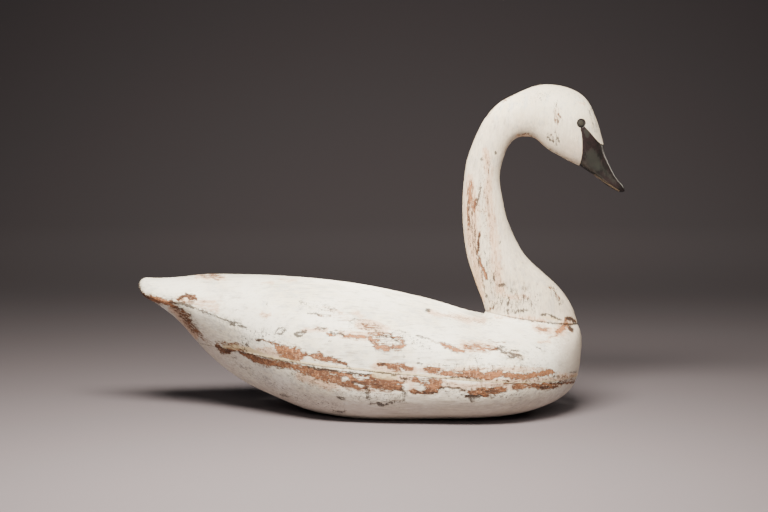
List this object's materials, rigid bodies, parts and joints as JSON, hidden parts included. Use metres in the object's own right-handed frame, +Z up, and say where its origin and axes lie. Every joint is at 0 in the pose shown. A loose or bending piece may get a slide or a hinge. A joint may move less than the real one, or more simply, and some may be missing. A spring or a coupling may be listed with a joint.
{
  "type": "swan decoy",
  "caption": "Full-size carved wooden swan decoy with a curved neck and lowered bill, resting on its flat underside, in weathered white paint with bare wood along the body seam.",
  "frame": {"origin": "on the surface it stands on, below the middle of the overall length and width", "axes": "+X towards the bill, +Y towards the bird's left side, +Z up"},
  "size_m": [0.838, 0.3084, 0.5675],
  "materials": {
    "weathered_white_paint": "old warm white paint, dirty and rubbed through to brown wood in places, black on the bill",
    "blackened_tack": "dark, dull, painted over and rubbed"
  },
  "bodies": {
    "root": {"upper_body": "weathered_white_paint", "lower_body": "weathered_white_paint", "neck_and_head": "weathered_white_paint", "left_eye_tack": "blackened_tack", "right_eye_tack": "blackened_tack"}
  },
  "joints": []
}
